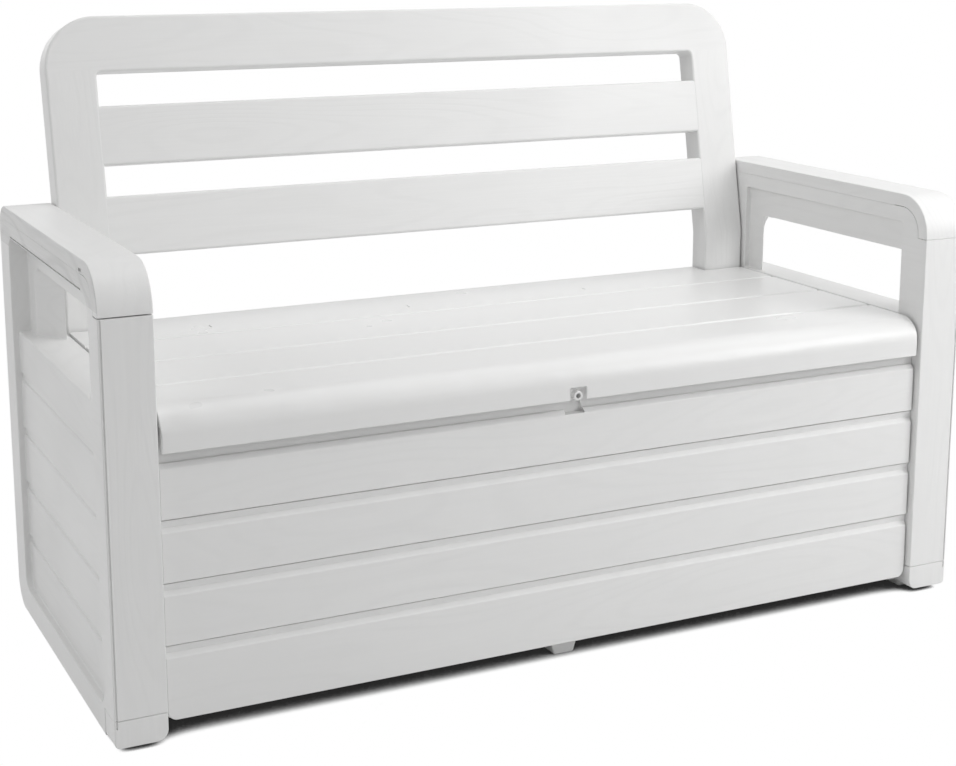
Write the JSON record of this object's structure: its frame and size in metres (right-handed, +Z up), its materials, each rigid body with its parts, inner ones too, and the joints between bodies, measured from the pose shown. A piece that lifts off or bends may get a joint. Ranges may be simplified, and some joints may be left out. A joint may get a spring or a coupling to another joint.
{
  "type": "outdoor storage bench",
  "caption": "Garden bench of white moulded resin with armrests, a slatted backrest and a hinged seat lid over a storage box.",
  "frame": {"origin": "bottom centre of the bench's box, on the floor", "axes": "+X along the bench to its right end as seen from the front, +Y from the front to the rear, +Z up"},
  "size_m": [1.325, 0.5962, 0.8944],
  "materials": {
    "white_resin": "satin, with a faint wood grain",
    "glide": "matte",
    "steel": "zinc plated"
  },
  "bodies": {
    "base": {"left_side_frame": "white_resin", "right_side_frame": "white_resin", "left_arm_cap": "white_resin", "right_arm_cap": "white_resin", "left_foot_shoe": "white_resin", "right_foot_shoe": "white_resin", "left_front_pad": "glide", "right_front_pad": "glide", "left_rear_pad": "glide", "right_rear_pad": "glide", "front_panel": "white_resin", "rear_panel": "white_resin", "floor_panel": "white_resin", "front_centre_foot": "white_resin", "rear_centre_foot": "white_resin", "left_hinge_pin": "steel", "right_hinge_pin": "steel", "backrest_frame": "white_resin", "upper_back_slat": "white_resin", "lower_back_slat": "white_resin", "backrest_bolts": "steel"},
    "lid": {"seat_lid": "white_resin", "front_lid_bar": "steel", "rear_lid_bar": "steel"}
  },
  "joints": [
    {"name": "lid_hinge", "type": "hinge", "parent": "base", "child": "lid", "pos_m": [0, 0.15691, 0.43], "axis": [-1, 0, 0], "range_deg": [0, 98]}
  ]
}
